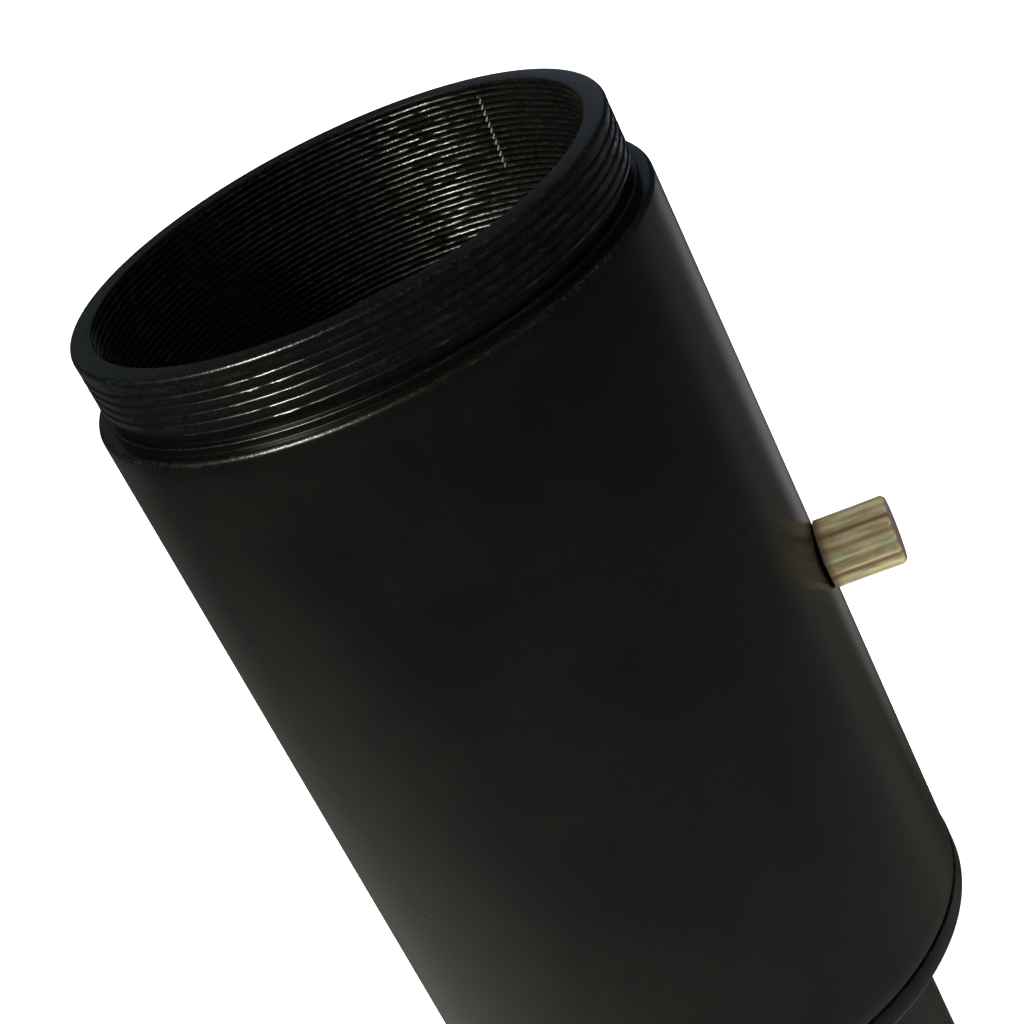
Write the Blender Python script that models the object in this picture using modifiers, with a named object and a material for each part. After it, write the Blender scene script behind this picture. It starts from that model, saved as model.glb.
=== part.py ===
"""Eyepiece projection adapter: a 1.25 inch nosepiece, an extension tube with a camera thread, and
inside the tube an eyepiece holder that a side thumbscrew clamps.

Frame: +Z runs up the optical axis towards the camera thread, +X runs out along the thumbscrew, and the
origin is on the optical axis at the height of the centroid. Units are metres. The threads are plain
cylinders at their crest radius, and neighbouring pieces keep a clearance of 0.3 mm.
"""
import math

import bmesh
import bpy
from mathutils import Euler, Matrix, Vector

MM = 0.001
CLEARANCE = 0.3 * MM
SEGMENTS = 48
MERGE_DISTANCE = 0.00001
SHARP_ANGLE = math.radians(30)

# Extension tube: 44 mm outside, with an M42 x 0.75 thread at both ends.
TUBE_RADIUS = 22.0 * MM
TUBE_LENGTH = 68.7 * MM
BORE_RADIUS = 19.2 * MM
EDGE_CHAMFER = 0.3 * MM
RIM_CHAMFER = 0.1 * MM
CAMERA_THREAD_RADIUS = 21.0 * MM
CAMERA_THREAD_LENGTH = 4.5 * MM
RELIEF_WIDTH = 0.7 * MM
RELIEF_DEPTH = 0.6 * MM
COLLAR_LENGTH = 6.0 * MM
SHOULDER_CHAMFER = 0.4 * MM
SOCKET_RADIUS = 20.6 * MM
SOCKET_DEPTH = 6.5 * MM

# Nosepiece: 31.7 mm barrel, flange, and a spigot that screws into the tube.
BARREL_RADIUS = 15.85 * MM
BARREL_LENGTH = 27.5 * MM
BARREL_CHAMFER = 0.4 * MM
BARREL_BORE_RADIUS = 13.9 * MM
FILTER_THREAD_RADIUS = 14.25 * MM
FILTER_THREAD_DEPTH = 5.0 * MM
FLANGE_RADIUS = 22.1 * MM
FLANGE_THICKNESS = 1.8 * MM
SPIGOT_RADIUS = SOCKET_RADIUS - CLEARANCE
SPIGOT_LENGTH = 4.5 * MM
SPIGOT_BORE_RADIUS = 17.5 * MM

# Eyepiece holder: a ring screwed into the tube's bore, with a 31.8 mm hole and a groove inside.
HOLDER_RADIUS = BORE_RADIUS - CLEARANCE
HOLDER_HEIGHT = 13.0 * MM
EYEPIECE_RADIUS = 15.9 * MM
LEAD_IN = 1.2 * MM
GROOVE_RADIUS = 17.1 * MM
GROOVE_HEIGHT = 5.0 * MM
SPANNER_SLOT_WIDTH = 2.0 * MM
SPANNER_SLOT_DEPTH = 1.5 * MM

# Compression ring: a split brass band that lies in the holder's groove.
BAND_THICKNESS = 0.8 * MM
BAND_RADIUS = GROOVE_RADIUS - CLEARANCE
BAND_HEIGHT = GROOVE_HEIGHT - 2 * CLEARANCE
BAND_SPLIT = 3.0 * MM

# Thumbscrew: M3, with a straight-knurled head and a plastic thrust tip in its inner end.
SCREW_HEIGHT = 58.6 * MM
SCREW_RADIUS = 1.5 * MM
SCREW_HOLE_RADIUS = SCREW_RADIUS + CLEARANCE
HEAD_RADIUS = 2.8 * MM
HEAD_LENGTH = 5.4 * MM
HEAD_STANDOFF = 0.4 * MM
HEAD_CHAMFER = 0.3 * MM
SHANK_LENGTH = 3.5 * MM
TIP_SOCKET_RADIUS = 0.8 * MM
TIP_SOCKET_DEPTH = 2.0 * MM
KNURL_FLUTES = 15
KNURL_DEPTH = 0.25 * MM
KNURL_CUTTER_RADIUS = 0.45 * MM
SCREW_SEGMENTS = 30

TIP_PAD_RADIUS = 1.1 * MM
TIP_STEM_RADIUS = TIP_SOCKET_RADIUS - CLEARANCE
TIP_SEGMENTS = 20

# Heights and distances that follow from the sizes above, measured from the barrel's open end.
TUBE_BOTTOM = BARREL_LENGTH + FLANGE_THICKNESS + CLEARANCE
HOLDER_BOTTOM = SCREW_HEIGHT - HOLDER_HEIGHT / 2
HEAD_UNDERSIDE = TUBE_RADIUS + HEAD_STANDOFF
SHANK_END = HEAD_UNDERSIDE - SHANK_LENGTH
TIP_INNER_FACE = BAND_RADIUS + CLEARANCE
CENTROID_HEIGHT = 54.4 * MM


def remove_old_objects():
    for old in list(bpy.data.objects):
        bpy.data.objects.remove(old, do_unlink=True)


def new_collection(name):
    collection = bpy.data.collections.new(name)
    bpy.context.scene.collection.children.link(collection)
    return collection


def new_material(name, colour, roughness, metallic):
    material = bpy.data.materials.new(name)
    material.use_nodes = True
    shader = material.node_tree.nodes["Principled BSDF"]
    shader.inputs["Base Color"].default_value = (*colour, 1.0)
    shader.inputs["Roughness"].default_value = roughness
    shader.inputs["Metallic"].default_value = metallic
    return material


def apply_modifiers(piece):
    depsgraph = bpy.context.evaluated_depsgraph_get()
    mesh = bpy.data.meshes.new_from_object(piece.evaluated_get(depsgraph))
    piece.modifiers.clear()
    piece.data = mesh


def turned(name, collection, outline, closed=True, segments=SEGMENTS):
    """A piece turned about its own Z axis. Its outline of radius and height runs down the outer side."""
    joins = [(i, i + 1) for i in range(len(outline) - 1)]
    if closed:
        joins.append((len(outline) - 1, 0))
    mesh = bpy.data.meshes.new(name)
    mesh.from_pydata([(radius, 0, height) for radius, height in outline], joins, [])
    piece = bpy.data.objects.new(name, mesh)
    collection.objects.link(piece)
    screw = piece.modifiers.new("Turn", "SCREW")
    screw.axis = "Z"
    screw.angle = 2 * math.pi
    screw.steps = segments
    screw.render_steps = segments
    screw.use_merge_vertices = True
    screw.merge_threshold = MERGE_DISTANCE
    apply_modifiers(piece)
    piece.data.shade_smooth()
    piece.data.set_sharp_from_angle(angle=SHARP_ANGLE)
    return piece


def place(piece, parent, location, material, rotation=(0, 0, 0)):
    piece.parent = parent
    piece.location = location
    piece.rotation_euler = rotation
    piece.data.materials.clear()
    piece.data.materials.append(material)


def mesh_cutter(name, collection, parent, build):
    """A guide object that cuts others: build adds its geometry to a bmesh."""
    shape = bmesh.new()
    build(shape)
    mesh = bpy.data.meshes.new(name)
    shape.to_mesh(mesh)
    shape.free()
    cutter = bpy.data.objects.new(name, mesh)
    collection.objects.link(cutter)
    cutter.parent = parent
    cutter.hide_render = True
    cutter.display_type = "WIRE"
    return cutter


def box_cutter(name, collection, parent, centre, size):
    def build(shape):
        bmesh.ops.create_cube(shape, size=1.0, matrix=Matrix.Diagonal((*size, 1.0)))

    cutter = mesh_cutter(name, collection, parent, build)
    cutter.location = centre
    return cutter


def cut(piece, cutter):
    boolean = piece.modifiers.new(cutter.name, "BOOLEAN")
    boolean.operation = "DIFFERENCE"
    boolean.solver = "EXACT"
    boolean.object = cutter


def tube_outline():
    thread_end = TUBE_LENGTH - CAMERA_THREAD_LENGTH
    relief_end = thread_end - RELIEF_WIDTH
    relief_radius = CAMERA_THREAD_RADIUS - RELIEF_DEPTH
    shoulder = TUBE_LENGTH - COLLAR_LENGTH
    socket_top = SOCKET_DEPTH + (SOCKET_RADIUS - BORE_RADIUS)
    return [
        (CAMERA_THREAD_RADIUS - RIM_CHAMFER, TUBE_LENGTH),
        (CAMERA_THREAD_RADIUS, TUBE_LENGTH - RIM_CHAMFER),
        (CAMERA_THREAD_RADIUS, thread_end),
        (relief_radius, thread_end),
        (relief_radius, relief_end),
        (CAMERA_THREAD_RADIUS, relief_end),
        (CAMERA_THREAD_RADIUS, shoulder),
        (TUBE_RADIUS - SHOULDER_CHAMFER, shoulder),
        (TUBE_RADIUS, shoulder - SHOULDER_CHAMFER),
        (TUBE_RADIUS, EDGE_CHAMFER),
        (TUBE_RADIUS - EDGE_CHAMFER, 0),
        (SOCKET_RADIUS + EDGE_CHAMFER, 0),
        (SOCKET_RADIUS, EDGE_CHAMFER),
        (SOCKET_RADIUS, SOCKET_DEPTH),
        (BORE_RADIUS, socket_top),
        (BORE_RADIUS, TUBE_LENGTH - RIM_CHAMFER),
        (BORE_RADIUS + RIM_CHAMFER, TUBE_LENGTH),
    ]


def nosepiece_outline():
    flange_top = BARREL_LENGTH + FLANGE_THICKNESS
    spigot_top = flange_top + SPIGOT_LENGTH
    thread_step = FILTER_THREAD_RADIUS - BARREL_BORE_RADIUS
    cone_height = SPIGOT_BORE_RADIUS - BARREL_BORE_RADIUS
    return [
        (SPIGOT_RADIUS - EDGE_CHAMFER, spigot_top),
        (SPIGOT_RADIUS, spigot_top - EDGE_CHAMFER),
        (SPIGOT_RADIUS, flange_top),
        (FLANGE_RADIUS - EDGE_CHAMFER, flange_top),
        (FLANGE_RADIUS, flange_top - EDGE_CHAMFER),
        (FLANGE_RADIUS, BARREL_LENGTH + EDGE_CHAMFER),
        (FLANGE_RADIUS - EDGE_CHAMFER, BARREL_LENGTH),
        (BARREL_RADIUS, BARREL_LENGTH),
        (BARREL_RADIUS, BARREL_CHAMFER),
        (BARREL_RADIUS - BARREL_CHAMFER, 0),
        (FILTER_THREAD_RADIUS + EDGE_CHAMFER, 0),
        (FILTER_THREAD_RADIUS, EDGE_CHAMFER),
        (FILTER_THREAD_RADIUS, FILTER_THREAD_DEPTH),
        (BARREL_BORE_RADIUS, FILTER_THREAD_DEPTH + thread_step),
        (BARREL_BORE_RADIUS, flange_top - cone_height),
        (SPIGOT_BORE_RADIUS, flange_top),
        (SPIGOT_BORE_RADIUS, spigot_top),
    ]


def holder_outline():
    groove_bottom = (HOLDER_HEIGHT - GROOVE_HEIGHT) / 2
    groove_top = groove_bottom + GROOVE_HEIGHT
    foot_chamfer = LEAD_IN / 2
    return [
        (HOLDER_RADIUS - EDGE_CHAMFER, HOLDER_HEIGHT),
        (HOLDER_RADIUS, HOLDER_HEIGHT - EDGE_CHAMFER),
        (HOLDER_RADIUS, EDGE_CHAMFER),
        (HOLDER_RADIUS - EDGE_CHAMFER, 0),
        (EYEPIECE_RADIUS + foot_chamfer, 0),
        (EYEPIECE_RADIUS, foot_chamfer),
        (EYEPIECE_RADIUS, groove_bottom),
        (GROOVE_RADIUS, groove_bottom),
        (GROOVE_RADIUS, groove_top),
        (EYEPIECE_RADIUS, groove_top),
        (EYEPIECE_RADIUS, HOLDER_HEIGHT - LEAD_IN),
        (EYEPIECE_RADIUS + LEAD_IN, HOLDER_HEIGHT),
    ]


def band_outline():
    half = BAND_HEIGHT / 2
    inner = BAND_RADIUS - BAND_THICKNESS
    return [(BAND_RADIUS, half), (BAND_RADIUS, -half), (inner, -half), (inner, half)]


def thumbscrew_outline():
    """The screw stands on its shank: the head's underside is at height 0 and its end is at the top."""
    return [
        (0, HEAD_LENGTH),
        (HEAD_RADIUS - HEAD_CHAMFER, HEAD_LENGTH),
        (HEAD_RADIUS, HEAD_LENGTH - HEAD_CHAMFER),
        (HEAD_RADIUS, HEAD_CHAMFER),
        (HEAD_RADIUS - HEAD_CHAMFER, 0),
        (SCREW_RADIUS, 0),
        (SCREW_RADIUS, EDGE_CHAMFER - SHANK_LENGTH),
        (SCREW_RADIUS - EDGE_CHAMFER, -SHANK_LENGTH),
        (TIP_SOCKET_RADIUS, -SHANK_LENGTH),
        (TIP_SOCKET_RADIUS, TIP_SOCKET_DEPTH - SHANK_LENGTH),
        (0, TIP_SOCKET_DEPTH - SHANK_LENGTH),
    ]


def tip_outline():
    """The pad's inner face is at height 0 and the stem points up into the screw."""
    pad_top = SHANK_END - CLEARANCE - TIP_INNER_FACE
    stem_top = SHANK_END + TIP_SOCKET_DEPTH - CLEARANCE - TIP_INNER_FACE
    return [
        (0, stem_top),
        (TIP_STEM_RADIUS, stem_top),
        (TIP_STEM_RADIUS, pad_top),
        (TIP_PAD_RADIUS, pad_top),
        (TIP_PAD_RADIUS, EDGE_CHAMFER),
        (TIP_PAD_RADIUS - EDGE_CHAMFER, 0),
        (0, 0),
    ]


def knurl_flutes(shape):
    """Thin rods round the head, each of which cuts one flute of the straight knurl."""
    ring = HEAD_RADIUS - KNURL_DEPTH + KNURL_CUTTER_RADIUS
    for flute in range(KNURL_FLUTES):
        angle = 2 * math.pi * flute / KNURL_FLUTES
        centre = Vector((ring * math.cos(angle), ring * math.sin(angle), HEAD_LENGTH / 2))
        bmesh.ops.create_cone(
            shape,
            cap_ends=True,
            segments=8,
            radius1=KNURL_CUTTER_RADIUS,
            radius2=KNURL_CUTTER_RADIUS,
            depth=HEAD_LENGTH + 2 * MM,
            matrix=Matrix.Translation(centre),
        )


def screw_hole(shape):
    """The tapped hole's drill, along +X from inside the holder's groove to outside the tube."""
    start = BAND_RADIUS - BAND_THICKNESS
    end = TUBE_RADIUS + 2 * MM
    along_x = Matrix.Rotation(math.radians(90), 4, "Y")
    bmesh.ops.create_cone(
        shape,
        cap_ends=True,
        segments=SCREW_SEGMENTS,
        radius1=SCREW_HOLE_RADIUS,
        radius2=SCREW_HOLE_RADIUS,
        depth=end - start,
        matrix=Matrix.Translation(((start + end) / 2, 0, 0)) @ along_x,
    )


def main():
    remove_old_objects()
    adapter = new_collection("eyepiece_projection_adapter")
    cutters = new_collection("cutters")
    black = new_material("black_anodised_aluminium", (0.012, 0.012, 0.013), 0.42, 0.6)
    plated = new_material("yellow_zinc_plated_steel", (0.36, 0.31, 0.17), 0.35, 1.0)
    brass = new_material("brass", (0.62, 0.44, 0.18), 0.3, 1.0)
    nylon = new_material("natural_nylon", (0.78, 0.76, 0.68), 0.5, 0.0)

    axis = bpy.data.objects.new("optical_axis", None)
    axis.location = (0, 0, -CENTROID_HEIGHT)
    adapter.objects.link(axis)
    outwards = Euler((0, math.radians(90), 0))

    drill = mesh_cutter("screw_hole", cutters, axis, screw_hole)
    drill.location = (0, 0, SCREW_HEIGHT)

    tube = turned("projection_tube", adapter, tube_outline())
    place(tube, axis, (0, 0, TUBE_BOTTOM), black)
    cut(tube, drill)

    nosepiece = turned("nosepiece", adapter, nosepiece_outline())
    place(nosepiece, axis, (0, 0, 0), black)

    holder = turned("eyepiece_holder", adapter, holder_outline())
    place(holder, axis, (0, 0, HOLDER_BOTTOM), black)
    slots = box_cutter(
        "spanner_slots",
        cutters,
        axis,
        (0, 0, HOLDER_BOTTOM + HOLDER_HEIGHT),
        (SPANNER_SLOT_WIDTH, 3 * HOLDER_RADIUS, 2 * SPANNER_SLOT_DEPTH),
    )
    cut(holder, drill)
    cut(holder, slots)

    band = turned("compression_ring", adapter, band_outline())
    place(band, axis, (0, 0, SCREW_HEIGHT), brass)
    split = box_cutter(
        "band_split",
        cutters,
        axis,
        (-BAND_RADIUS, 0, SCREW_HEIGHT),
        (BAND_RADIUS, BAND_SPLIT, 2 * BAND_HEIGHT),
    )
    cut(band, split)

    screw = turned("thumbscrew", adapter, thumbscrew_outline(), False, SCREW_SEGMENTS)
    place(screw, axis, (HEAD_UNDERSIDE, 0, SCREW_HEIGHT), plated, outwards)
    flutes = mesh_cutter("knurl_flutes", cutters, axis, knurl_flutes)
    flutes.location = screw.location
    flutes.rotation_euler = outwards
    cut(screw, flutes)

    tip = turned("screw_tip", adapter, tip_outline(), False, TIP_SEGMENTS)
    place(tip, axis, (TIP_INNER_FACE, 0, SCREW_HEIGHT), nylon, outwards)


main()
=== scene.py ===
"""Looks of the eyepiece projection adapter: turned pieces with real threads, finishes, light and camera.

Lengths in the outlines are millimetres, as on a shop drawing, and Turning.build makes them metres.
Heights are the frame's own: +Z up the optical axis, +X out along the thumbscrew.
"""
import math

import bmesh
import bpy
import numpy as np
from mathutils import Matrix, Vector


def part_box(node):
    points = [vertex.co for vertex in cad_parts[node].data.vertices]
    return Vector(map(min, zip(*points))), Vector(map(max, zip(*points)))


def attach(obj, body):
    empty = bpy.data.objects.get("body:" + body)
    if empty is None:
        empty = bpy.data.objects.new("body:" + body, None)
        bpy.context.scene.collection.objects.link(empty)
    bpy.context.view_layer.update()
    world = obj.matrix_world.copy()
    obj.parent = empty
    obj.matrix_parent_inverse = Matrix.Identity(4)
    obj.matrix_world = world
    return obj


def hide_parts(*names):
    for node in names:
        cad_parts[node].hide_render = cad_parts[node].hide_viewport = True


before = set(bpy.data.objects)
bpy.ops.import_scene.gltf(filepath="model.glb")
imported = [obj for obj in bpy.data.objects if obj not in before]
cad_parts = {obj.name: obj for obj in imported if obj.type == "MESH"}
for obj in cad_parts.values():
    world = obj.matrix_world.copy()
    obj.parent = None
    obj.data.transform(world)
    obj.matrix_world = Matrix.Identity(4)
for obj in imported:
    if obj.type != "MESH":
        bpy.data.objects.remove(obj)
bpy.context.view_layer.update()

MM = 0.001
VIEW = Matrix.Rotation(math.radians(13.5), 4, "Z")       # from the camera's frame, where +Y is away from it
WELD = 0.0000001
SHARP_ANGLE = math.radians(28)
NICK = 0.02                # the tiny bevel of a sharp corner between two turned faces
THREAD_INSET = 0.04        # how far in from the edge of an end face a thread starts

# Threads: pitch, and depth from crest to root. The collar's crests are left broad and its roots shallow.
CAMERA_PITCH, CAMERA_DEPTH = 0.75, 0.46
COLLAR_DEPTH = 0.13
BORE_PITCH, BORE_DEPTH = 0.5, 0.27
FILTER_PITCH, FILTER_DEPTH = 0.6, 0.32
SCREW_PITCH, SCREW_DEPTH = 0.5, 0.3

FLANK_ANGLE = math.radians(30)
CORNER_ANGLES = (math.radians(22), math.radians(45))
BURRS = np.random.default_rng(42)


def thread_form(pitch, depth, rounding):
    """One pitch of a 60 degree thread, going up: shares of the pitch, and 1 on the crest or 0 at the root.

    The crest's upper corner is rounded by two facets, at the corner angles, each as long as the rounding.
    """
    corner = [(rounding, rounding * math.tan(angle)) for angle in CORNER_ANGLES if rounding > 0]
    flank_drop = depth - sum(drop for length, drop in corner)
    upper = corner + [(flank_drop * math.tan(FLANK_ANGLE), flank_drop)]
    lower_length = depth * math.tan(FLANK_ANGLE)
    flat = (pitch - lower_length - sum(length for length, drop in upper)) / 2
    form = [(0.0, 1.0), (flat / pitch, 1.0)]
    along, level = flat, depth
    for length, drop in upper:
        along += length
        level -= drop
        form.append((along / pitch, level / depth))
    form.append(((along + flat) / pitch, 0.0))
    return form


def box_mm(node):
    """The lowest and highest corners of a CAD node, in millimetres."""
    low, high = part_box(node)
    return Vector(low) / MM, Vector(high) / MM


# ---------------------------------------------------------------- turned shapes


class Turning:
    """A turned piece as rows of points, one for each corner of its outline.

    The outline runs down the outer side and back up the inner side. A thread is a run of rows that climb
    round the axis by one pitch a turn. Each row has a wear from 0 to 1, for the finish to read.
    """

    def __init__(self, segments):
        self.segments = segments
        self.angles = np.arange(segments) * (2 * math.pi / segments)
        self.radii = []
        self.heights = []
        self.wear = []
        self.meets = []

    def row(self, radius, height, wear=0.0, meets=None):
        """Adds a row. meets is the row that this one's last point joins, its own first point if None."""
        self.meets.append(len(self.radii) if meets is None else meets)
        self.radii.append(np.zeros(self.segments) + radius)
        self.heights.append(np.zeros(self.segments) + height)
        self.wear.append(np.zeros(self.segments) + wear)

    def points(self, *outline):
        for point in outline:
            self.row(*point)

    def arc(self, radius, height, size, start, end, steps=6, wear=0.0):
        """A rounded corner about the centre (radius, height), from start to end in degrees."""
        for angle in np.radians(np.linspace(start, end, steps + 1)):
            edge = wear * math.sin(math.pi * (angle - math.radians(start)) / math.radians(end - start))
            self.row(radius + size * math.cos(angle), height + size * math.sin(angle), edge)

    def thread(
        self, start, end, pitch, crest, root, start_radius, end_radius, wear=1.0, rounding=0.0, burr=0.0
    ):
        """A right-hand thread between two heights, its ends cut back at 45 degrees to their radii.

        The crests fall short unevenly, by up to burr.
        """
        outside = crest > root
        down = start > end
        turns = math.ceil(abs(start - end) / pitch) + 1
        form = thread_form(pitch, abs(crest - root), rounding)
        if down:
            form = form[:1] + [(1 - along, level) for along, level in form[:0:-1]]
        first = len(self.radii)
        last = first + len(form) * turns
        climb = pitch * self.angles / (2 * math.pi)
        side = 1 if outside else -1
        for index in range(len(form) * turns + 1):
            turn, place = divmod(index, len(form))
            along, level = form[place]
            if down:
                height = start - (turn + along) * pitch + climb
                meets = max(first + index - len(form), first)
            else:
                height = start + (turn + along - 1) * pitch + climb
                meets = min(first + index + len(form), last)
            height = np.clip(height, min(start, end), max(start, end))
            start_limit = start_radius + side * np.abs(height - start)
            end_limit = end_radius + side * np.abs(height - end)
            uneven = burr * level * BURRS.random(self.segments)
            radius = root + (crest - root) * level - side * uneven
            if outside:
                radius = np.minimum(radius, np.minimum(start_limit, end_limit))
            else:
                radius = np.maximum(radius, np.maximum(start_limit, end_limit))
            self.row(radius, height, wear * level, meets)

    def build(self, name, closed=True):
        """Joins the rows into one closed skin; an open outline has to start and end on the axis."""
        rows = len(self.radii)
        radii = np.array(self.radii)
        positions = np.stack(
            (radii * np.cos(self.angles), radii * np.sin(self.angles), np.array(self.heights)), axis=-1
        )
        here = np.arange(rows if closed else rows - 1)
        there = (here + 1) % rows
        column = np.arange(self.segments)
        beside = (column + 1) % self.segments
        meets = np.array(self.meets)
        wraps = (column == self.segments - 1)[None, :]
        here_beside = np.where(wraps, meets[here][:, None], here[:, None]) * self.segments + beside
        there_beside = np.where(wraps, meets[there][:, None], there[:, None]) * self.segments + beside
        quads = np.stack(
            (
                here[:, None] * self.segments + column,
                there[:, None] * self.segments + column,
                there_beside,
                here_beside,
            ),
            axis=-1,
        )
        mesh = bpy.data.meshes.new(name)
        mesh.from_pydata((positions.reshape(-1, 3) * MM).tolist(), [], quads.reshape(-1, 4).tolist())
        wear = mesh.attributes.new("wear", "FLOAT", "POINT")
        wear.data.foreach_set("value", np.array(self.wear).reshape(-1))
        weld(mesh)
        return new_piece(name, mesh)


def weld(mesh):
    shape = bmesh.new()
    shape.from_mesh(mesh)
    bmesh.ops.remove_doubles(shape, verts=shape.verts, dist=WELD)
    shape.to_mesh(mesh)
    shape.free()


def shade(mesh):
    mesh.shade_smooth()
    mesh.set_sharp_from_angle(angle=SHARP_ANGLE)


def new_piece(name, mesh):
    shade(mesh)
    piece = bpy.data.objects.new(name, mesh)
    bpy.context.scene.collection.objects.link(piece)
    return piece


def cut(piece, cutters):
    """Cuts the cutters out of a piece, applies the result and removes the cutters."""
    for cutter in cutters:
        boolean = piece.modifiers.new("Cut", "BOOLEAN")
        boolean.operation = "DIFFERENCE"
        boolean.solver = "EXACT"
        boolean.object = cutter
    depsgraph = bpy.context.evaluated_depsgraph_get()
    mesh = bpy.data.meshes.new_from_object(piece.evaluated_get(depsgraph))
    piece.modifiers.clear()
    piece.data = mesh
    shade(mesh)
    for cutter in cutters:
        bpy.data.objects.remove(cutter, do_unlink=True)


def finish_piece(piece, material, body, node):
    """Gives a piece its finish, hangs it on the CAD body it stands for, and hides the CAD node it replaces.
    """
    piece.data.materials.clear()
    piece.data.materials.append(material)
    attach(piece, body)
    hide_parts(node)


# ---------------------------------------------------------------- the pieces

TUBE_LOW, TUBE_HIGH = box_mm("projection_tube")
NOSE_LOW, NOSE_HIGH = box_mm("nosepiece")
HOLDER_LOW, HOLDER_HIGH = box_mm("eyepiece_holder")
BAND_LOW, BAND_HIGH = box_mm("compression_ring")
SCREW_LOW, SCREW_HIGH = box_mm("thumbscrew")
TIP_LOW, TIP_HIGH = box_mm("screw_tip")

RIM = TUBE_HIGH.z
TUBE_END = TUBE_LOW.z
TUBE_RADIUS = TUBE_HIGH.y
SCREW_AXIS = (SCREW_LOW.z + SCREW_HIGH.z) / 2
HEAD_RADIUS = (SCREW_HIGH.z - SCREW_LOW.z) / 2
HEAD_GAP = 0.08
HEAD_START = TUBE_RADIUS + HEAD_GAP
TUBE_SEGMENTS = 288
HOLE_RADIUS = 1.75
HOLE_FLARE = 0.3
JOINT_OVERRUN = 0.25
FLANGE_GAP = 0.3           # the clearance that the CAD solids keep between tube and flange
FLANGE_THICKNESS = 1.8


def hole_cutter(name, inner, outer, flare_at=None):
    """A drill along +X between two radii, flared where it comes out through the tube's surface."""
    drill = Turning(48)
    if flare_at is None:
        drill.points((0, outer), (HOLE_RADIUS, outer))
    else:
        flared = HOLE_RADIUS + HOLE_FLARE
        drill.points((0, outer), (flared, outer), (flared, flare_at), (HOLE_RADIUS, flare_at - HOLE_FLARE))
    drill.points((HOLE_RADIUS, inner), (0, inner))
    cutter = drill.build(name, closed=False)
    cutter.matrix_world = (
        Matrix.Translation((0, 0, SCREW_AXIS * MM)) @ Matrix.Rotation(math.radians(90), 4, "Y")
    )
    return cutter


def make_tube():
    """The extension tube: camera thread and relief, shoulder, plain body, and threads all down its bore.

    Its skin runs on below the CAD solid, so that only a thin joint is left above the flange.
    """
    collar, groove = 21.0, 20.4
    rim_edge, land_edge = 0.34, 0.14
    thread_start, thread_end, groove_end, shoulder = RIM - 0.7, RIM - 4.5, RIM - 5.42, RIM - 6.0
    runout = 0.12
    corner, corner_fade = 0.48, 1.0
    end = TUBE_END - JOINT_OVERRUN
    foot, foot_fade = 0.2, 1.3
    socket_crest, socket_root, socket_mouth, socket_end = 20.6, 21.0, 21.08, TUBE_END + 6.4
    relief_end, recess_start = socket_end + 0.8, socket_end + 1.8
    recess, recess_top = 19.5, HOLDER_LOW.z - 2.6
    bore_crest, bore_root, bore_burr = 19.2, 19.2 + BORE_DEPTH, 0.05
    bore_start, bore_end = recess_top + 0.1, RIM - 0.25
    bore_mouth, mouth_bevel = 19.26, 0.06
    hole_inner, hole_outer, hole_mouth = bore_crest - 1.7, TUBE_RADIUS + 2.0, TUBE_RADIUS + 0.05
    tube = Turning(TUBE_SEGMENTS)
    tube.arc(collar - rim_edge, RIM - rim_edge, rim_edge, 90, 0, 5, wear=0.8)
    tube.thread(
        thread_start, thread_end, CAMERA_PITCH, collar, collar - COLLAR_DEPTH, collar, collar - runout,
        wear=0.35, rounding=0.05, burr=0.04,
    )
    tube.points((groove, thread_end - runout), (groove, groove_end + NICK), (groove + NICK, groove_end))
    tube.arc(collar - land_edge, groove_end - land_edge, land_edge, 90, 0, 5, wear=0.8)
    tube.points((collar, shoulder + NICK), (collar + NICK, shoulder))
    tube.arc(TUBE_RADIUS - corner, shoulder - corner, corner, 90, 0, 8, wear=0.9)
    tube.points((TUBE_RADIUS, shoulder - corner - corner_fade), (TUBE_RADIUS, end + foot_fade))
    tube.arc(TUBE_RADIUS - foot, end + foot, foot, 0, -90, 5, wear=0.7)
    tube.points((socket_mouth, end, 0.3))
    tube.thread(
        end + THREAD_INSET, socket_end, CAMERA_PITCH, socket_crest, socket_root,
        socket_mouth - THREAD_INSET, socket_root, wear=0.5,
    )
    tube.points((socket_root, relief_end), (recess, recess_start), (recess, recess_top))
    tube.thread(
        bore_start, bore_end, BORE_PITCH, bore_crest, bore_root, recess, bore_mouth,
        rounding=0.046, burr=bore_burr,
    )
    tube.points((bore_mouth, RIM - mouth_bevel, 0.5), (bore_mouth + mouth_bevel, RIM, 0.5))
    piece = tube.build("tube_shell")
    cut(piece, [hole_cutter("tube_hole", hole_inner, hole_outer, flare_at=hole_mouth)])
    return piece


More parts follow.
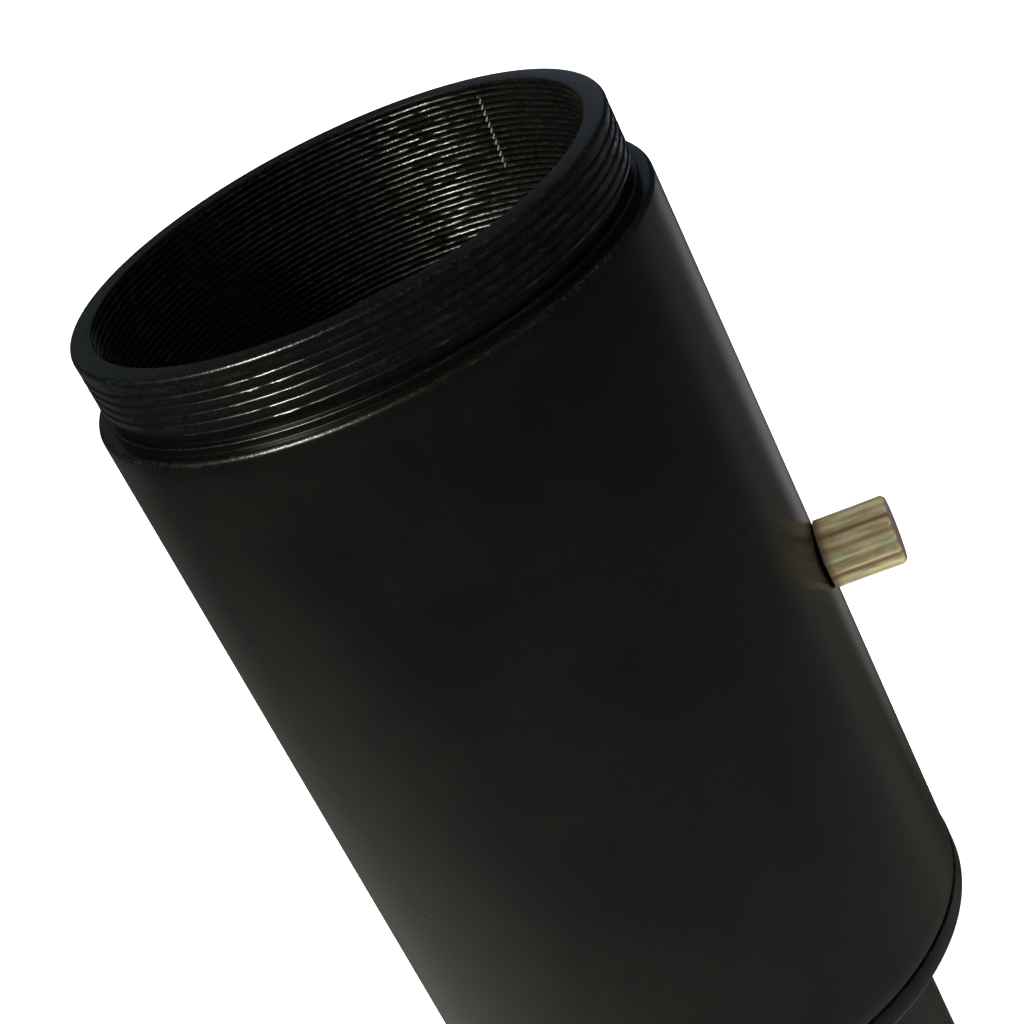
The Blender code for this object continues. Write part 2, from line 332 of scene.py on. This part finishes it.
def make_nosepiece():
    """The 1.25 inch barrel with its flange, the spigot that screws into the tube, and a filter thread."""
    top, end = NOSE_HIGH.z, NOSE_LOW.z
    flange_radius, flange_top = NOSE_HIGH.y, TUBE_END - FLANGE_GAP
    underside, edge = flange_top - FLANGE_THICKNESS, 0.2
    spigot, spigot_mouth, spigot_end = 20.5, 19.8, flange_top + 0.9
    spigot_groove, groove_corner = 20.0, 0.08
    barrel, fillet, fillet_fade, barrel_end, barrel_fade = 15.85, 0.2, 1.3, 0.4, 1.0
    filter_root, filter_start, filter_mouth = 14.25, 14.45, 14.49
    filter_crest = filter_root - FILTER_DEPTH
    filter_top, relief_end = end + 5.0, end + 5.6
    bore, bore_mouth, bore_start = 13.9, 14.2, end + 6.2
    baffle_root, baffle_start, baffle_end = bore + BORE_DEPTH, end + 6.4, flange_top - 4.0
    cone, cone_start, cone_edge = 17.5, flange_top - 3.6, 0.3
    nose = Turning(192)
    nose.points((spigot_mouth, top, 0.4))
    nose.thread(
        top - THREAD_INSET, spigot_end, CAMERA_PITCH, spigot, spigot - CAMERA_DEPTH,
        spigot_mouth + THREAD_INSET, spigot_groove,
    )
    nose.points((spigot_groove, flange_top + groove_corner), (spigot_groove + groove_corner, flange_top))
    nose.arc(flange_radius - edge, flange_top - edge, edge, 90, 0, 6, wear=0.8)
    nose.arc(flange_radius - edge, underside + edge, edge, 0, -90, 6, wear=0.8)
    nose.points((barrel + fillet, underside))
    nose.arc(barrel + fillet, underside - fillet, fillet, 90, 180, 4)
    nose.points((barrel, underside - fillet - fillet_fade), (barrel, end + barrel_end + barrel_fade))
    nose.arc(barrel - barrel_end, end + barrel_end, barrel_end, 0, -90, 6, wear=0.8)
    nose.points((filter_mouth, end, 0.4))
    nose.thread(
        end + THREAD_INSET, filter_top, FILTER_PITCH, filter_crest, filter_root, filter_start, filter_root,
        wear=0.6,
    )
    nose.points((filter_root, relief_end), (bore_mouth, bore_start))
    nose.thread(
        baffle_start, baffle_end, BORE_PITCH, bore, baffle_root, bore_mouth, bore_mouth, wear=0.4
    )
    nose.points((bore, cone_start), (cone, flange_top))
    nose.points((cone, top - cone_edge), (cone + cone_edge, top, 0.4))
    return nose.build("nosepiece_shell")


def slot_cutter(name, width, length, depth, top):
    """A bar across the axis, half above the top, which cuts a slot in each side of a ring."""
    shape = bmesh.new()
    size = Matrix.Diagonal((width * MM, length * MM, 2 * depth * MM, 1.0))
    bmesh.ops.create_cube(shape, size=1.0, matrix=Matrix.Translation((0, 0, top * MM)) @ size)
    mesh = bpy.data.meshes.new(name)
    shape.to_mesh(mesh)
    shape.free()
    cutter = bpy.data.objects.new(name, mesh)
    bpy.context.scene.collection.objects.link(cutter)
    return cutter


def make_holder():
    """The ring that holds the eyepiece: threaded outside, grooved inside, with two spanner slots."""
    low, high = HOLDER_LOW.z, HOLDER_HIGH.z
    crest, mouth, lead = 19.05, 18.65, 0.05
    start = mouth + lead
    bore, foot, lead_in = 15.9, 0.6, 1.2
    groove, lip = 17.1, 0.05
    groove_low, groove_high = SCREW_AXIS - 2.5, SCREW_AXIS + 2.5
    ring = Turning(160)
    ring.points((mouth, high, 0.4))
    ring.thread(high - lead, low + lead, BORE_PITCH, crest, crest - BORE_DEPTH, start, start)
    ring.points(
        (mouth, low, 0.4),
        (bore + foot, low, 0.3),
        (bore, low + foot, 0.3),
        (bore, groove_low - lip),
        (bore + lip, groove_low),
        (groove, groove_low),
        (groove, groove_high),
        (bore + lip, groove_high),
        (bore, groove_high + lip),
        (bore, high - lead_in - lip, 0.2),
    )
    ring.arc(bore + lead_in, high - lead_in, lead_in, 180, 90, 6, wear=0.3)
    piece = ring.build("eyepiece_holder_ring")
    drill = hole_cutter("holder_hole", inner=16.3, outer=20.5)
    slots = slot_cutter("spanner_slots", width=2.0, length=60.0, depth=1.5, top=high)
    cut(piece, [drill, slots])
    return piece


def make_band():
    """The split brass band: a rounded section swept round the axis, open opposite the thumbscrew."""
    thickness, bevel = 0.8, 0.18
    inner, outer = BAND_HIGH.x - thickness, BAND_HIGH.x
    half = (BAND_HIGH.z - BAND_LOW.z) / 2
    split_width = 3.0
    split = 2 * math.asin(split_width / 2 / inner)
    steps = 150
    end_shrink = 0.8
    section = []
    for across, up, turn in ((1, 1, 90), (1, -1, 0), (-1, -1, -90), (-1, 1, 180)):
        centre_r = (outer - bevel) if across > 0 else (inner + bevel)
        for angle in np.radians(np.linspace(turn, turn - 90, 4)):
            section.append(
                (centre_r + bevel * math.cos(angle), up * (half - bevel) + bevel * math.sin(angle))
            )
    shape = bmesh.new()
    rings = []
    for step in range(steps + 1):
        angle = math.pi + split / 2 + (2 * math.pi - split) * step / steps
        ends = min(step, steps - step)
        shrink = 1.0 if ends > 0 else end_shrink
        middle = (inner + outer) / 2
        ring = []
        for radius, height in section:
            reach = middle + (radius - middle) * shrink
            spot = Vector((reach * math.cos(angle), reach * math.sin(angle), height * shrink + SCREW_AXIS))
            ring.append(shape.verts.new(spot * MM))
        rings.append(ring)
    count = len(section)
    for near, far in zip(rings, rings[1:]):
        for i in range(count):
            shape.faces.new((near[i], near[(i + 1) % count], far[(i + 1) % count], far[i]))
    shape.faces.new(rings[0][::-1])
    shape.faces.new(rings[-1])
    bmesh.ops.recalc_face_normals(shape, faces=shape.faces)
    mesh = bpy.data.meshes.new("brass_band")
    shape.to_mesh(mesh)
    shape.free()
    return new_piece("brass_band", mesh)


def make_thumbscrew():
    """The thumbscrew, upright on its shank: height 0 is the head's underside. Shallow flutes, M3 thread."""
    flutes, flute_depth, flute_share = 15, 0.17, 0.42
    flute_turn = math.radians(3)
    unevenness, every = 0.28, 3
    head, edge = HEAD_RADIUS, 0.26
    lip, lip_fade = 0.05, 0.5
    length = SCREW_HIGH.x - HEAD_START
    flank_top, flank_foot, steps = length - edge - 0.08, 0.12, 14
    dimple, dimple_wall, dimple_floor = 0.6, 0.55, 0.35
    dimple_depth, dimple_edge = 0.22, 0.02
    shank = HEAD_START - SCREW_LOW.x
    crest, neck, neck_end, undercut = 1.5, 1.2, 1.1, 0.1 - HEAD_GAP
    thread_start, thread_end = -0.3, 0.05 - shank
    socket, socket_depth = 0.8, 2.0
    screw = Turning(360)
    turn = (screw.angles + flute_turn) * flutes / (2 * math.pi)
    valley = np.clip(1 - np.abs((turn + 0.5) % 1.0 - 0.5) / flute_share, 0, 1)
    valley = valley * valley * (3 - 2 * valley)
    valley *= 1 - unevenness + unevenness * np.cos(2 * math.pi * np.round(turn) / every)

    def fluted(radius, height, share, wear):
        """Adds a row that the flutes cut by that share of their depth."""
        screw.row(radius - flute_depth * share * valley, height, wear * (1 - valley))

    screw.points((0, length - dimple_depth), (dimple_floor, length - dimple_depth))
    screw.points((dimple_wall, length - dimple_edge), (dimple, length))
    screw.points((head - edge - 0.1, length, 0.3))
    fluted(head - edge, length - 0.01, share=0.3, wear=0.5)
    fluted(head - 0.04, length - edge, share=0.9, wear=1.0)
    for part in range(steps + 1):
        height = flank_top + (flank_foot - flank_top) * part / steps
        shrunk = lip * (1 - math.exp(-(length - height) / lip_fade))
        fluted(head - shrunk, height, share=1.0, wear=1.0)
    fluted(head - lip - 0.03, 0.04, share=0.9, wear=0.8)
    fluted(head - lip - 0.1, 0, share=0.6, wear=0.3)
    screw.points((head - lip - 0.3, 0, 0.1), (neck + 0.1, 0), (neck, undercut))
    screw.thread(
        thread_start, thread_end, SCREW_PITCH, crest, crest - SCREW_DEPTH, neck, neck_end, wear=0.8
    )
    screw.points((neck_end - THREAD_INSET, -shank), (socket, -shank))
    screw.points((socket, socket_depth - shank), (0, socket_depth - shank))
    return screw.build("thumbscrew_knurled", closed=False)


def make_tip():
    """The nylon thrust tip: a rounded pad, whose inner face is height 0, with a stem in the screw's end."""
    reach = TIP_HIGH.x - TIP_LOW.x
    pad, pad_height, pad_edge, crown = 1.1, 1.5, 0.1, 0.35
    stem, stem_end, fillet = 0.5, 0.15, 0.08
    tip = Turning(64)
    tip.points((0, reach), (stem - stem_end, reach), (stem, reach - stem_end), (stem, pad_height + fillet))
    tip.points((stem + fillet, pad_height), (pad - pad_edge, pad_height), (pad, pad_height - pad_edge))
    tip.points((pad, crown))
    tip.arc(pad - crown, crown, crown, 0, -90, 6)
    tip.points((0, 0))
    return tip.build("nylon_tip", closed=False)


def lay_outwards(piece, distance):
    """Turns an upright piece so that it points out along +X, with its height 0 at that distance."""
    piece.matrix_world = (
        Matrix.Translation((distance * MM, 0, SCREW_AXIS * MM)) @ Matrix.Rotation(math.radians(90), 4, "Y")
    )


# ---------------------------------------------------------------- finishes


class Finish:
    """A material's nodes, with short calls that add and join them. Object coordinates are in metres."""

    def __init__(self, name):
        self.material = bpy.data.materials.new(name)
        self.material.use_nodes = True
        self.tree = self.material.node_tree
        self.shader = self.tree.nodes["Principled BSDF"]
        self.place = self.add("TexCoord").outputs["Object"]

    def add(self, kind, inputs=None, **settings):
        node = self.tree.nodes.new("ShaderNode" + kind)
        for key, value in settings.items():
            setattr(node, key, value)
        for key, value in (inputs or {}).items():
            self.feed(node.inputs[key], value)
        return node

    def feed(self, socket, value):
        if isinstance(value, bpy.types.NodeSocket):
            self.tree.links.new(value, socket)
        else:
            socket.default_value = value

    def noise(self, size, stretch=(1, 1, 1), detail=2.0, rough=0.5):
        """Noise whose features are about size millimetres, stretched by a factor along each axis."""
        scale = [1 / (size * MM * factor) for factor in stretch]
        spots = self.add("Mapping", {"Vector": self.place, "Scale": scale}).outputs["Vector"]
        texture = self.add(
            "TexNoise", {"Vector": spots, "Scale": 1.0, "Detail": detail, "Roughness": rough}
        )
        return texture.outputs["Fac"]

    def turning_lines(self, size, detail=3.0):
        """Noise that changes only with radius and height, like the lines that a lathe tool leaves."""
        flat = self.add("VectorMath", {0: self.place, 1: (1, 1, 0)}, operation="MULTIPLY").outputs["Vector"]
        radius = self.add("VectorMath", {0: flat}, operation="LENGTH").outputs["Value"]
        height = self.add("SeparateXYZ", {"Vector": self.place}).outputs["Z"]
        spot = self.add("CombineXYZ", {"X": radius, "Y": height}).outputs["Vector"]
        inputs = {"Vector": spot, "Scale": 1 / (size * MM), "Detail": detail, "Roughness": 0.6}
        return self.add("TexNoise", inputs, noise_dimensions="2D").outputs["Fac"]

    def straight_stripe(self, top, bottom, width):
        """1 on a straight stripe between two points of the view's frame, and 0 beside it."""
        top, bottom = (VIEW @ Vector(end) * MM for end in (top, bottom))
        along = (bottom - top).normalized()
        outwards = Vector((top.x, top.y, 0)).normalized()
        across = along.cross(outwards).normalized()

        def reach(axis):
            offset = self.add("VectorMath", {0: self.place, 1: top}, operation="SUBTRACT").outputs["Vector"]
            return self.add("VectorMath", {0: offset, 1: axis}, operation="DOT_PRODUCT").outputs["Value"]

        side = self.math("ABSOLUTE", reach(across))
        length = (bottom - top).length
        middle = self.math("ABSOLUTE", self.math("SUBTRACT", reach(along), length / 2))
        depth = self.math("ABSOLUTE", reach(outwards))
        line = self.spread(side, 0.3 * width * MM, 0.5 * width * MM, 1.0, 0.0)
        ends = self.spread(middle, 0.4 * length, 0.5 * length, 1.0, 0.0)
        near = self.spread(depth, 0.6 * MM, 0.7 * MM, 1.0, 0.0)
        return self.math("MULTIPLY", self.math("MULTIPLY", line, ends), near)

    def math(self, operation, first, second=0.0):
        return self.add("Math", {0: first, 1: second}, operation=operation).outputs["Value"]

    def spread(self, value, low, high, to_low=0.0, to_high=1.0):
        """Maps a value smoothly from low..high to to_low..to_high."""
        inputs = {"Value": value, "From Min": low, "From Max": high, "To Min": to_low, "To Max": to_high}
        return self.add("MapRange", inputs, interpolation_type="SMOOTHSTEP").outputs["Result"]

    def blend(self, share, first, second):
        inputs = {"Factor": share, 6: (*first, 1) if isinstance(first, tuple) else first}
        inputs[7] = (*second, 1) if isinstance(second, tuple) else second
        return self.add("Mix", inputs, data_type="RGBA").outputs[2]

    def wear(self):
        return self.add("Attribute", attribute_name="wear").outputs["Fac"]

    def bump(self, *layers):
        """Stacks bumps, each a height socket and its depth in millimetres."""
        normal = None
        for height, depth in layers:
            node = self.add("Bump", {"Height": height, "Strength": 1.0, "Distance": depth * MM})
            if normal is not None:
                self.feed(node.inputs["Normal"], normal)
            normal = node.outputs["Normal"]
        return normal

    def set(self, **inputs):
        for key, value in inputs.items():
            self.feed(self.shader.inputs[key.replace("_", " ")], value)


# A pale stripe painted down the bore: its top and bottom end in the view's frame, and its width, in
# millimetres.
BORE_STRIPE = ((13.7, 13.4, RIM - 0.8), (13.3, 13.8, RIM - 7.4), 0.15)


def black_anodise(name, striped=False, tint=(1.0, 1.0, 1.0)):
    """Satin black anodise over turned metal: faint tool lines, fine grain, dust, and edges rubbed grey. Its
    reflections are tinted by tint, a painted colour standing in for coloured light.
    """
    finish = Finish(name)
    cloud = finish.noise(9.0, detail=3.0)
    grain = finish.noise(0.1, detail=1.0)
    lines = finish.turning_lines(0.07)
    burrs = finish.noise(0.32, detail=2.0, rough=0.6)
    wear = finish.wear()
    rubbed = finish.math("MULTIPLY", wear, finish.spread(burrs, 0.45, 0.7))
    dye = finish.blend(finish.spread(cloud, 0.35, 0.65), (0.0009, 0.0012, 0.001), (0.0016, 0.0016, 0.0012))
    dust = finish.spread(finish.noise(0.3, detail=0.0), 0.8, 0.86, 0.0, 0.1)
    dusty = finish.blend(dust, dye, (0.02, 0.02, 0.018))
    bare = finish.blend(rubbed, dusty, (0.01, 0.0095, 0.008))
    if striped:
        # Paints a pale straight stripe down the bore.
        bare = finish.blend(finish.straight_stripe(*BORE_STRIPE), bare, (0.17, 0.165, 0.15))
    polish = finish.spread(cloud, 0.3, 0.7, 0.22, 0.26)
    uneven = finish.math("MULTIPLY", grain, 0.05)
    dulled = finish.math("MULTIPLY", wear, 0.02)
    roughness = finish.math("ADD", polish, finish.math("ADD", uneven, dulled))
    worn_lines = finish.math("MULTIPLY", lines, wear)
    worn_burrs = finish.math("MULTIPLY", burrs, wear)
    finish.set(
        Base_Color=bare,
        Roughness=roughness,
        IOR=1.5,
        # A tint other than white paints a colour on the reflections, standing in for coloured light.
        Specular_Tint=(*tint, 1.0),
        Normal=finish.bump((lines, 0.0012), (grain, 0.0015), (worn_lines, 0.006), (worn_burrs, 0.03)),
    )
    return finish.material


def zinc_plate(name):
    """Yellow passivated zinc: olive gold with pink and green tints, darker brown in the flutes, painted
    shade darkening it next to the tube, and darker purplish on the outer end face.
    """
    finish = Finish(name)
    streak = finish.noise(0.5, stretch=(1, 1, 5), detail=2.0)
    tint = finish.noise(1.3, stretch=(1, 1, 1.6), detail=1.0)
    grain = finish.noise(0.07, stretch=(1, 1, 3), detail=2.0)
    gold = finish.blend(finish.spread(streak, 0.35, 0.65), (0.29, 0.245, 0.115), (0.46, 0.40, 0.235))
    pink = finish.blend(finish.spread(tint, 0.58, 0.74, 0.0, 0.4), gold, (0.50, 0.36, 0.29))
    green = finish.blend(finish.spread(tint, 0.44, 0.28, 0.0, 0.5), pink, (0.34, 0.40, 0.27))
    brown = finish.blend(finish.spread(tint, 0.3, 0.6), (0.17, 0.14, 0.06), (0.19, 0.11, 0.06))
    # Darker brown in the flutes.
    fluted = finish.blend(finish.spread(finish.wear(), 0.0, 0.75), brown, green)
    height = finish.add("SeparateXYZ", {"Vector": finish.place}).outputs["Z"]
    # Painted contact shade: the head darkens towards its underside, where it meets the tube.
    painted_contact_shade = finish.spread(height, 0.1 * MM, 0.9 * MM, 0.75, 0.0)
    contact_shaded = finish.blend(painted_contact_shade, fluted, (0.10, 0.06, 0.035))
    end = SCREW_HIGH.x - HEAD_START
    # The outer end face is made darker and purplish.
    outer_end_dark = finish.spread(height, (end - 0.03) * MM, (end - 0.005) * MM)
    finish.set(
        Base_Color=finish.blend(outer_end_dark, contact_shaded, (0.13, 0.09, 0.10)),
        Metallic=0.4,
        Roughness=finish.spread(grain, 0.3, 0.7, 0.34, 0.5),
        Normal=finish.bump((grain, 0.012), (streak, 0.03)),
    )
    return finish.material


def drawn_brass(name):
    finish = Finish(name)
    lines = finish.noise(0.1, stretch=(200, 200, 1), detail=2.0)
    stain = finish.noise(4.0, detail=3.0)
    finish.set(
        Base_Color=finish.blend(finish.spread(stain, 0.4, 0.7), (0.72, 0.51, 0.22), (0.42, 0.27, 0.12)),
        Metallic=1.0,
        Roughness=finish.spread(stain, 0.3, 0.7, 0.24, 0.42),
        Normal=finish.bump((lines, 0.006)),
    )
    return finish.material


def natural_nylon(name):
    finish = Finish(name)
    cloud = finish.noise(0.8, detail=2.0)
    finish.set(
        Base_Color=finish.blend(cloud, (0.78, 0.75, 0.66), (0.66, 0.62, 0.5)),
        Roughness=finish.spread(cloud, 0.3, 0.7, 0.4, 0.55),
        Subsurface_Weight=0.2,
        Subsurface_Scale=0.0008,
        Normal=finish.bump((finish.noise(0.1), 0.008)),
    )
    return finish.material


# ---------------------------------------------------------------- floor, light and camera

FLOOR_HEIGHT = NOSE_LOW.z - 0.05


def make_floor():
    """A white sweep: a wide floor that curves up into a wall. Reflections look past it to the world."""
    flat, curve, wall, middle = 2500.0, 1500.0, 5000.0, 400.0
    sweep = Turning(96)
    sweep.points((flat + curve, FLOOR_HEIGHT + wall), (flat + curve, FLOOR_HEIGHT + curve))
    sweep.arc(flat, FLOOR_HEIGHT + curve, curve, 0, -90, 16)
    sweep.points((middle, FLOOR_HEIGHT), (0, FLOOR_HEIGHT))
    floor = sweep.build("studio_sweep", closed=False)
    floor.data.flip_normals()
    paper = Finish("studio_paper")
    fibre = paper.noise(2.0, detail=3.0)
    paper.set(
        Base_Color=paper.blend(fibre, (0.86, 0.86, 0.86), (0.9, 0.9, 0.9)),
        Roughness=0.9,
        Emission_Color=(1.0, 1.0, 1.0, 1.0),
        Emission_Strength=0.35,
    )
    floor.data.materials.append(paper.material)
    floor.visible_glossy = False
    floor.visible_shadow = False


def area_light(name, direction, distance, size, power, colour=(1, 1, 1), glossy=True):
    """A round lamp aimed at the adapter, from a direction in the view's frame and a distance in metres."""
    data = bpy.data.lights.new(name, "AREA")
    data.shape = "DISK"
    data.size = size
    data.energy = power
    data.color = colour
    lamp = bpy.data.objects.new(name, data)
    bpy.context.scene.collection.objects.link(lamp)
    towards = (VIEW @ Vector(direction)).normalized()
    lamp.location = towards * distance
    lamp.rotation_mode = "QUATERNION"
    lamp.rotation_quaternion = towards.to_track_quat("Z", "Y")
    lamp.visible_glossy = glossy
    return lamp


# Soft glows in the room that the glossy sides mirror: direction in the view's frame, the angles at which
# the glow is full and gone, colour and strength.
GLOWS = (
    ((0.0, 0.0, -1.0), 35, 73, (0.97, 1.0, 0.84), 0.29),
    ((0.0, 0.0, -1.0), 20, 46, (1.0, 0.94, 0.97), 0.9),
    ((-0.37, 0.06, -0.93), 12, 50, (1.0, 0.97, 0.86), 0.42),
    ((-0.52, 0.77, -0.36), 5, 24, (1.0, 0.94, 0.84), 0.06),
    ((0.45, 0.79, -0.42), 3, 11.5, (1.0, 0.95, 0.9), 0.56),
    ((0.72, 0.52, -0.45), 4, 18, (1.0, 0.97, 0.88), 0.13),
    ((0.37, 0.64, -0.67), 12, 32, (1.0, 1.0, 0.9), -0.16),
    ((0.48, 0.84, -0.22), 2, 10, (0.15, 0.45, 1.4), 0.09),
    ((0.20, 0.95, 0.21), 2, 10, (0.75, 0.9, 1.2), 0.26),
    ((-0.20, 0.94, 0.28), 2, 9, (0.8, 1.0, 1.1), 0.09),
)
ROOM = (0.02, 0.023, 0.024)


def make_world():
    """A dim room with soft glows, added up over the direction of the view ray."""
    world = bpy.data.worlds.new("room")
    world.use_nodes = True
    tree = world.node_tree

    def node(kind, inputs, **settings):
        made = tree.nodes.new("ShaderNode" + kind)
        for key, value in settings.items():
            setattr(made, key, value)
        for key, value in inputs.items():
            if isinstance(value, bpy.types.NodeSocket):
                tree.links.new(value, made.inputs[key])
            else:
                made.inputs[key].default_value = value
        return made

    direction = node("TexCoord", {}).outputs["Generated"]
    total = ROOM
    for towards, full, gone, colour, strength in GLOWS:
        axis = (VIEW @ Vector(towards)).normalized()
        nearness = node("VectorMath", {0: direction, 1: axis}, operation="DOT_PRODUCT").outputs["Value"]
        edges = {"From Min": math.cos(math.radians(gone)), "From Max": math.cos(math.radians(full))}
        share = node("MapRange", {"Value": nearness, **edges}, interpolation_type="SMOOTHSTEP")
        glow = [channel * strength for channel in colour]
        scaled = {0: glow, "Scale": share.outputs["Result"]}
        added = node("VectorMath", scaled, operation="SCALE").outputs["Vector"]
        total = node("VectorMath", {0: added, 1: total}, operation="ADD").outputs["Vector"]
    background = tree.nodes["Background"]
    tree.links.new(total, background.inputs["Color"])
    background.inputs["Strength"].default_value = 1.0
    bpy.context.scene.world = world


def make_lamps():
    """A small lamp up on the camera's left, which the threads glint in, and a wide fill from overhead."""
    area_light(
        "high_lamp", direction=(-0.62, -0.36, 0.69), distance=1.2, size=0.2, power=22.0,
        colour=(1.0, 0.97, 0.84),
    )
    area_light("soft_fill", direction=(0.1, 0.3, 1.0), distance=1.6, size=1.6, power=25.0, glossy=False)


# The camera: where it stands in the view's frame, in millimetres, and how far it looks down and tips over.
CAMERA_PLACE = Vector((1.79, -164.06, RIM + 50.78))
CAMERA_LENS, CAMERA_SENSOR = 84.5, 36.0
LOOK_DOWN = math.radians(25.38)
TIP_OVER = math.radians(-26.95)


def make_camera():
    data = bpy.data.cameras.new("camera")
    data.lens = CAMERA_LENS
    data.sensor_width = CAMERA_SENSOR
    data.clip_start = 0.01
    data.clip_end = 50.0
    camera = bpy.data.objects.new("camera", data)
    bpy.context.scene.collection.objects.link(camera)
    place = Matrix.Translation(CAMERA_PLACE * MM)
    pitch = Matrix.Rotation(math.radians(90) - LOOK_DOWN, 4, "X")
    roll = Matrix.Rotation(TIP_OVER, 4, "Z")
    camera.matrix_world = VIEW @ place @ pitch @ roll
    bpy.context.scene.camera = camera


def main():
    anodise = black_anodise("black_anodise")
    striped = black_anodise("black_anodise_bore", striped=True)
    # Painted blue reflection: the nosepiece's reflections are tinted blue to stand in for bluish light on
    # it.
    blue_reflection_anodise = black_anodise("black_anodise_blue_reflection", tint=(0.74, 0.84, 0.94))
    zinc = zinc_plate("yellow_zinc")
    finish_piece(make_tube(), striped, "tube", "projection_tube")
    finish_piece(make_nosepiece(), blue_reflection_anodise, "nosepiece", "nosepiece")
    finish_piece(make_holder(), anodise, "tube", "eyepiece_holder")
    finish_piece(make_band(), drawn_brass("brass"), "tube", "compression_ring")
    screw = make_thumbscrew()
    lay_outwards(screw, HEAD_START)
    finish_piece(screw, zinc, "thumbscrew", "thumbscrew")
    tip = make_tip()
    lay_outwards(tip, TIP_LOW.x)
    finish_piece(tip, natural_nylon("nylon"), "screw_carrier", "screw_tip")

    make_floor()
    make_world()
    make_lamps()
    make_camera()
    bpy.context.scene.view_settings.view_transform = "Standard"


main()
